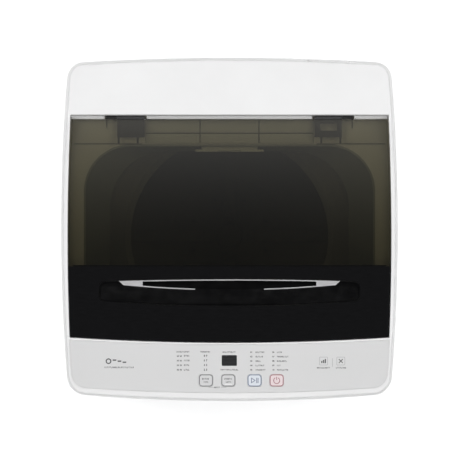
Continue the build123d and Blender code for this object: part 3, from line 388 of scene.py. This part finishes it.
for key, names in WEAR.items():
    for n in names:
        o = NODES[n]
        o.data.materials.clear()
        o.data.materials.append(MATS[key])
        o.data.shade_smooth()
        o.data.set_sharp_from_angle(angle=EDGE_ANGLE)


# ------------------------------------------------------------------ flat prints
def piece(name, verts, faces, mat, body):
    """A mesh that rides on a CAD body."""
    me = bpy.data.meshes.new(name)
    me.from_pydata([tuple(v) for v in verts], [], faces)
    me.validate()
    me.update()
    o = bpy.data.objects.new(name, me)
    bpy.context.scene.collection.objects.link(o)
    me.materials.append(MATS[mat])
    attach(o, body)
    return o


class Print:
    """Ink on the console: closed outlines in the panel's plan, each a thin raised film."""

    def __init__(self, lift=0.0, film=0.07):
        self.v, self.f, self.lo, self.hi = [], [], (lift - 0.05) * MM, (lift + film) * MM

    def at(self, x, y, h):
        along = (y * MM - PANEL_REAR_Y) / math.cos(TILT)
        return PANEL_ORIGIN + Vector((x * MM, 0, 0)) + PANEL_ALONG * along + PANEL_NORMAL * h

    def shape(self, outer, inner=None):
        n = len(outer)
        rings = [(outer, self.hi), (outer, self.lo)]
        if inner:
            rings += [(inner, self.hi), (inner, self.lo)]
        base = len(self.v)
        for pts, h in rings:
            self.v += [self.at(x, y, h) for x, y in pts]
        if not inner:
            self.f.append([base + i for i in range(n)])
            self.f.append([base + n + i for i in reversed(range(n))])
        for i in range(n):
            j = (i + 1) % n
            self.f.append([base + i, base + n + i, base + n + j, base + j])
            if inner:
                top, under = base + 2 * n, base + 3 * n
                self.f.append([base + i, base + j, top + j, top + i])
                self.f.append([base + n + j, base + n + i, under + i, under + j])
                self.f.append([top + i, top + j, under + j, under + i])

    def bar(self, x, y, w, h, turn=0.0):
        c, s = math.cos(turn), math.sin(turn)
        pts = [(-w / 2, -h / 2), (w / 2, -h / 2), (w / 2, h / 2), (-w / 2, h / 2)]
        self.shape([(x + a * c - b * s, y + a * s + b * c) for a, b in pts])

    def ring(self, x, y, r, w, a0=0.0, a1=2 * math.pi, n=40):
        if a1 - a0 > 6.28:
            turn = [2 * math.pi * i / n for i in range(n)]
            self.shape([(x + r * math.cos(t), y + r * math.sin(t)) for t in turn],
                       [(x + (r - w) * math.cos(t), y + (r - w) * math.sin(t)) for t in turn])
            return
        turn = [a0 + (a1 - a0) * i / n for i in range(n + 1)]
        out = [(x + r * math.cos(t), y + r * math.sin(t)) for t in turn]
        back = [(x + (r - w) * math.cos(t), y + (r - w) * math.sin(t)) for t in reversed(turn)]
        self.shape(out + back)

    def disc(self, x, y, r, n=24):
        turn = [2 * math.pi * i / n for i in range(n)]
        self.shape([(x + r * math.cos(t), y + r * math.sin(t)) for t in turn])

    def frame(self, x, y, w, h, r, line):
        def loop(w, h, r):
            pts = []
            for cx, cy, a in ((1, 1, 0), (-1, 1, 90), (-1, -1, 180), (1, -1, 270)):
                for i in range(7):
                    t = math.radians(a + 15 * i)
                    px = x + cx * (w / 2 - r) + r * math.cos(t)
                    py = y + cy * (h / 2 - r) + r * math.sin(t)
                    pts.append((px, py))
            return pts
        self.shape(loop(w, h, r), loop(w - 2 * line, h - 2 * line, max(r - line, 0.2)))

    def word(self, x, y, width, height, seed, centre=False):
        """A legend stood in for by plain strokes, in groups like words."""
        rnd = random.Random(seed)
        at = x - width / 2 if centre else x
        end = at + width
        while at < end - 0.5 * height:
            w = height * rnd.uniform(0.6, 0.8)
            kind = rnd.randrange(4)
            t = 0.27 * height
            if kind == 0:
                self.bar(at + w / 2, y + height * 0.4, w, t)
                self.bar(at + w / 2, y - height * 0.05, t, height * 0.8)
            elif kind == 1:
                self.frame(at + w / 2, y, w, height, height * 0.2, t)
            elif kind == 2:
                self.bar(at + t / 2, y, t, height)
                self.bar(at + w / 2, y - height * 0.4, w, t)
            else:
                self.bar(at + w / 2, y + height * 0.3, w, t)
                self.bar(at + w / 2, y - height * 0.3, w, t)
            at += w + 0.22 * height

    def done(self, name, mat, body="cabinet"):
        return piece(name, self.v, self.f, mat, body)


def digits(text, x, y, height, out):
    """A number in the plain built-in face, added to a print as closed outlines."""
    cu = bpy.data.curves.new("number", "FONT")
    cu.body = text
    cu.size = height / 0.7
    cu.offset = 0.05 * height
    cu.align_x = "CENTER"
    cu.align_y = "CENTER"
    cu.resolution_u = 2
    o = bpy.data.objects.new("number", cu)
    bpy.context.scene.collection.objects.link(o)
    me = bpy.data.meshes.new_from_object(o)
    bm = bmesh.new()
    bm.from_mesh(me)
    bmesh.ops.remove_doubles(bm, verts=bm.verts, dist=1e-5)
    top = [v.co.copy() for v in bm.verts]
    faces = [[v.index for v in f.verts] for f in bm.faces]
    outline = [e for e in bm.edges if len(e.link_faces) == 1]
    rim = [(e.verts[0].index, e.verts[1].index, e.link_faces[0]) for e in outline]
    base, n = len(out.v), len(top)
    out.v += [out.at(x + p.x, y + p.y, out.hi) for p in top]
    out.v += [out.at(x + p.x, y + p.y, out.lo) for p in top]
    for f in faces:
        out.f.append([base + i for i in f])
        out.f.append([base + n + i for i in reversed(f)])
    for a, b, face in rim:
        order = [v.index for v in face.verts]
        if order[(order.index(a) + 1) % len(order)] != b:
            a, b = b, a
        out.f.append([base + b, base + a, base + n + a, base + n + b])
    bm.free()
    bpy.data.objects.remove(o)
    bpy.data.curves.remove(cu)
    bpy.data.meshes.remove(me)


KEY_Y = -228.0
KEY_LIFT = 0.7


def key_outline(body, x, mat, symbol=None):
    """The frame round a key's face, with its symbol."""
    out = Print(lift=KEY_LIFT)
    out.frame(x, KEY_Y, 20.4, 17.6, 4.4, 0.95)
    if symbol:
        symbol(out, x)
    out.done(body + "_print", mat, body)


def start_pause_symbol(out, x):
    out.shape([(x - 5.2, KEY_Y + 4.2), (x - 5.2, KEY_Y - 4.2), (x + 1.6, KEY_Y)],
              [(x - 4.3, KEY_Y + 2.7), (x - 4.3, KEY_Y - 2.7), (x + 0.1, KEY_Y)])
    out.bar(x + 3.2, KEY_Y, 0.9, 8.0)
    out.bar(x + 5.2, KEY_Y, 0.9, 8.0)


def power_symbol(out, x):
    out.ring(x, KEY_Y - 0.2, 5.0, 0.9, math.radians(118), math.radians(422))
    out.bar(x, KEY_Y + 3.0, 0.9, 4.6)


def key_legend(body, x, width, seed):
    """Two short lines on a plain key."""
    out = Print(lift=KEY_LIFT)
    out.word(x, KEY_Y + 2.3, width, 2.3, seed, True)
    out.word(x, KEY_Y - 2.4, 7.0, 2.1, seed + 1, True)
    out.done(body + "_legend", "ink", body)


def white_patch(body, x):
    """Pale patch under the legend of the program key."""
    out = Print(lift=KEY_LIFT, film=0.05)
    out.shape([(x - 6, KEY_Y - 7.2), (x + 6, KEY_Y - 7.2), (x + 5, KEY_Y - 4.9), (x - 5, KEY_Y - 4.9)])
    out.done(body + "_patch", "ink_white", body)


LEVEL_X, PROGRAM_X, START_X, POWER_X = -35.6, -1.8, 37.9, 71.2
key_outline("level_key", LEVEL_X, "ink")
key_legend("level_key", LEVEL_X, 11.5, 3)
key_outline("program_key", PROGRAM_X, "ink")
key_legend("program_key", PROGRAM_X, 13.0, 8)
white_patch("program_key", PROGRAM_X)
key_outline("start_key", START_X, "ink_blue", start_pause_symbol)
key_outline("power_key", POWER_X, "ink_red", power_symbol)

WORDS = Print()
FAINT = Print()
DARK = Print()
MODE_ROWS = [-190.9 - 7.03 * i for i in range(4)]
LIST_ROWS = [-185.5 - 6.67 * i for i in range(5)]
HEADER_Y = -184.9


def process_column(x_icon, x_word):
    """Icons and legends of the wash, rinse and spin steps."""
    WORDS.word(-70.2, HEADER_Y, 20.0, 2.0, 11, True)
    for i, y in enumerate(MODE_ROWS):
        for x in (x_icon - 2.2, x_icon + 2.2):
            DARK.bar(x - 0.9, y - 0.3, 0.8, 2.4)
            DARK.bar(x + 0.9, y - 0.3, 0.8, 2.4)
            DARK.bar(x, y - 1.1 + 0.62 * i, 2.6, 0.75)
        WORDS.word(x_word, y, 9.2, 2.3, 20 + i)


def level_column(x):
    """Water levels, two to a row."""
    WORDS.word(x, HEADER_Y, 15.5, 2.0, 31, True)
    for i, y in enumerate(MODE_ROWS):
        digits(str(8 - 2 * i), x - 1.7, y, 2.8, DARK)
        digits(str(9 - 2 * i), x + 1.7, y, 2.8, DARK)


def display_legends(x):
    WORDS.word(x, HEADER_Y - 0.4, 20.5, 2.1, 41, True)
    WORDS.word(x, -212.0, 27.0, 2.1, 42, True)


def program_list():
    """Numbered programs in two columns."""
    widths = ((13.0, 11.0, 7.5, 12.5, 14.5), (7.5, 17.0, 15.0, 6.5, 17.5))
    for c, (x_number, x_word) in enumerate(((32.9, 39.4), (66.1, 71.6))):
        for i, y in enumerate(LIST_ROWS):
            digits("%02d" % (5 * c + i + 1), x_number, y, 2.2, DARK)
            WORDS.word(x_word, y, widths[c][i], 2.1, 60 + 10 * c + i)


def plain_mark(x, y):
    """Plain ring and bars, with a line of small print under them."""
    DARK.ring(x, y, 4.3, 1.7)
    for i in range(3):
        DARK.bar(x + 9.0 + 7.5 * i, y + 1.6 - 1.6 * i, 5.5, 2.0)
    WORDS.word(-166.4, y - 9.3, 45.0, 2.2, 81, True)


def badge(x, y, width, seed):
    FAINT.frame(x, y, 12.6, 12.4, 1.2, 0.5)
    WORDS.word(x, y - 10.2, width, 2.1, seed, True)


def bar_badge(x, y):
    badge(x, y, 20.0, 91)
    for i in range(3):
        DARK.bar(x - 2.7 + 2.7 * i, y - 1.4 + 0.7 * i, 1.8, 3.2 + 1.6 * i)


def cross_badge(x, y):
    badge(x, y, 14.5, 92)
    for i in range(4):
        a = math.radians(45 + 90 * i)
        DARK.bar(x + 2.5 * math.cos(a), y + 2.5 * math.sin(a), 3.4, 1.2, a)
    DARK.disc(x, y, 1.1)


def key_link(x, y):
    """Small mark joined by fine lines to the two plain keys."""
    DARK.word(x, y, 9.5, 1.9, 99, True)
    FAINT.bar(x - 9.5, y, 8.0, 0.5)
    FAINT.bar(x + 9.5, y, 8.0, 0.5)


process_column(-75.8, -68.7)
level_column(-36.2)
display_legends(-0.1)
program_list()
plain_mark(-182.6, -199.0)
bar_badge(142.0, -198.8)
cross_badge(168.0, -198.8)
FAINT.bar(155.4, -201.0, 0.5, 13.0)
key_link(-18.3, -238.6)
WORDS.done("console_legends", "ink")
FAINT.done("console_fine_legends", "ink_soft")
DARK.done("console_icons", "ink_dark")


# ------------------------------------------------------------------ painted shadow lines in the deck's creases
def seams(lines, z):
    """Thin near-black strips lying in the creases of the deck, as painted shadow: each line is x0, y0, x1,
    y1 in mm.
    """
    verts, faces = [], []
    for x0, y0, x1, y1 in lines:
        n = len(verts)
        for h in (z, z + 0.4):
            verts += [(x * MM, y * MM, h * MM) for x, y in ((x0, y0), (x1, y0), (x1, y1), (x0, y1))]
        faces += [[n + 3, n + 2, n + 1, n], [n + 4, n + 5, n + 6, n + 7]]
        faces += [[n + i, n + (i + 1) % 4, n + 4 + (i + 1) % 4, n + 4 + i] for i in range(4)]
    return piece("deck_seams", verts, faces, "crease_shade", "cabinet")


SEAMS = [(-126, 144.6, 126, 145.8)]
for side in (-1, 1):
    SEAMS.append((min(side * 132, side * 235), 128.4, max(side * 132, side * 235), 129.6))
    for y0, y1 in ((131.0, 144.4), (146.0, 166.0)):
        SEAMS.append((side * 44.5 - 0.6, y0, side * 44.5 + 0.6, y1))
seams(SEAMS, 847.8)


# ------------------------------------------------------------------ perforated basket
def basket_skin():
    """Stainless wall with round perforations and two rolled beads."""
    r_out, thick = 0.1948, 0.0008
    lo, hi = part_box("basket_wall")
    z0, z1 = lo.z, hi.z
    cols = 84
    pitch = 2 * math.pi * r_out / cols
    rows = int((z1 - z0) / pitch)
    step = (z1 - z0) / rows
    hole = 0.0019
    beads = (z0 + 0.048, z0 + 0.388)
    bead_height, bead_width, bead_margin = 0.0018, 0.0035, 0.010
    verts, faces = [], []

    def bead(z):
        return sum(bead_height * math.exp(-(((z - c) / bead_width) ** 2)) for c in beads)

    def point(u, z, inner):
        a = 2 * math.pi * u / cols
        r = r_out + bead(z) - (thick if inner else 0.0)
        return (r * math.cos(a), AXIS_Y + r * math.sin(a), z)

    index = {}

    def vert(key, u, z, inner):
        if key not in index:
            index[key] = len(verts)
            verts.append(point(u, z, inner))
        return index[key]

    for j in range(rows):
        zc = z0 + (j + 0.5) * step
        solid = j < 2 or j >= rows - 3 or any(abs(zc - c) < bead_margin for c in beads)
        for i in range(cols):
            sides = []
            for inner in (False, True):
                ring = []
                for du, dz in ((0, 0), (1, 0), (2, 0), (2, 1), (2, 2), (1, 2), (0, 2), (0, 1)):
                    ku, kz = (2 * i + du) % (2 * cols), 2 * j + dz
                    ring.append(vert(("g", ku, kz, inner), ku / 2, z0 + kz * step / 2, inner))
                sides.append(ring)
            if solid or (i + j) % 2:
                faces.append(sides[0])
                faces.append(sides[1][::-1])
                continue
            holes = []
            for inner in (False, True):
                ring = []
                for k in range(8):
                    a = math.radians(225 + 45 * k)
                    u = i + 0.5 + hole * math.cos(a) / pitch
                    z = zc + hole * math.sin(a)
                    ring.append(vert(("h", i, j, k, inner), u, z, inner))
                holes.append(ring)
            for k in range(8):
                m = (k + 1) % 8
                faces.append([sides[0][k], sides[0][m], holes[0][m], holes[0][k]])
                faces.append([sides[1][m], sides[1][k], holes[1][k], holes[1][m]])
                faces.append([holes[0][k], holes[0][m], holes[1][m], holes[1][k]])
    for j in (0, 2 * rows):
        for k in range(2 * cols):
            m = (k + 1) % (2 * cols)
            ring = [index[("g", k, j, False)], index[("g", m, j, False)],
                    index[("g", m, j, True)], index[("g", k, j, True)]]
            faces.append(ring if j else ring[::-1])
    o = piece("basket_skin", verts, faces, "stainless", "basket")
    o.data.shade_smooth()
    o.data.set_sharp_from_angle(angle=math.radians(40))
    return o


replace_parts(basket_skin(), "basket_wall")


# ------------------------------------------------------------------ parts held between the tub and the cabinet
def flexible(node):
    """A part held at one end by the tub and at the other by the cabinet, shown by a world-space copy of its
    mesh in place of the hidden CAD part.
    """
    rigid = NODES[node]
    o = bpy.data.objects.new(node + "_flex", rigid.data.copy())
    bpy.context.scene.collection.objects.link(o)
    o.matrix_world = rigid.matrix_world.copy()
    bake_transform(o)
    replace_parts(o, node)


flexible("suspension_springs")
flexible("inner_drain_hose")
flexible("air_tube")


# ------------------------------------------------------------------ stage, light and camera
def floor():
    bpy.ops.mesh.primitive_plane_add(size=24, location=(0, 0, 0))
    o = bpy.context.object
    o.name = "floor"
    m, nt, b, out = tree("floor_white")
    n = noise(nt, coords(nt), 2.0)
    nt.links.new(two_tone(nt, n, (0.86, 0.86, 0.86), (0.88, 0.88, 0.88)), b.inputs["Base Color"])
    b.inputs["Roughness"].default_value = 0.85
    b.inputs["Specular IOR Level"].default_value = 0.1
    b.inputs["Emission Color"].default_value = (1, 1, 1, 1)
    b.inputs["Emission Strength"].default_value = 0.67
    o.data.materials.append(m)


def soft_light(name, place, aim, size, power):
    d = bpy.data.lights.new(name, "AREA")
    d.shape = "RECTANGLE"
    d.size, d.size_y = size
    d.energy = power
    o = bpy.data.objects.new(name, d)
    bpy.context.scene.collection.objects.link(o)
    o.location = place
    o.rotation_euler = (Vector(aim) - Vector(place)).to_track_quat("-Z", "Y").to_euler()


def world():
    """A dim, even surround, so that the gloss black lid stays black from above."""
    w = bpy.data.worlds.new("studio")
    bpy.context.scene.world = w
    w.use_nodes = True
    nt = w.node_tree
    nt.nodes.clear()
    out = nt.nodes.new("ShaderNodeOutputWorld")
    bg = nt.nodes.new("ShaderNodeBackground")
    tc = nt.nodes.new("ShaderNodeTexCoord")
    sep = nt.nodes.new("ShaderNodeSeparateXYZ")
    nt.links.new(tc.outputs["Generated"], sep.inputs[0])
    tone = two_tone(nt, sep.outputs[2], (0.08, 0.08, 0.081), (0.09, 0.09, 0.093), 0.25, 0.80)
    nt.links.new(tone, bg.inputs[0])
    nt.links.new(bg.outputs[0], out.inputs[0])


floor()
world()
soft_light("key_left", (-1.6, 0.8, 3.6), (0, 0, 0.7), (1.5, 1.5), 51)
soft_light("key_right", (1.65, 0.7, 3.5), (0, 0, 0.7), (1.5, 1.5), 46)
soft_light("front_fill", (0.1, -1.7, 3.3), (0, 0, 0.6), (2.0, 1.2), 23)

# The camera looks straight down from far above, at the width of floor that fills its view.
SENSOR = 36.0
VIEW_WIDTH = 0.69414
DISTANCE = 20.0
cam = bpy.data.cameras.new("camera")
cam_o = bpy.data.objects.new("camera", cam)
bpy.context.scene.collection.objects.link(cam_o)
cam.sensor_width = SENSOR
cam.lens = SENSOR * DISTANCE / VIEW_WIDTH
cam_o.location = (0.00075, -0.0010, PANEL_REAR_Z + DISTANCE)
cam_o.rotation_euler = (0, 0, 0)
cam.clip_end = 3 * DISTANCE
bpy.context.scene.camera = cam_o
bpy.context.scene.view_settings.view_transform = "Standard"
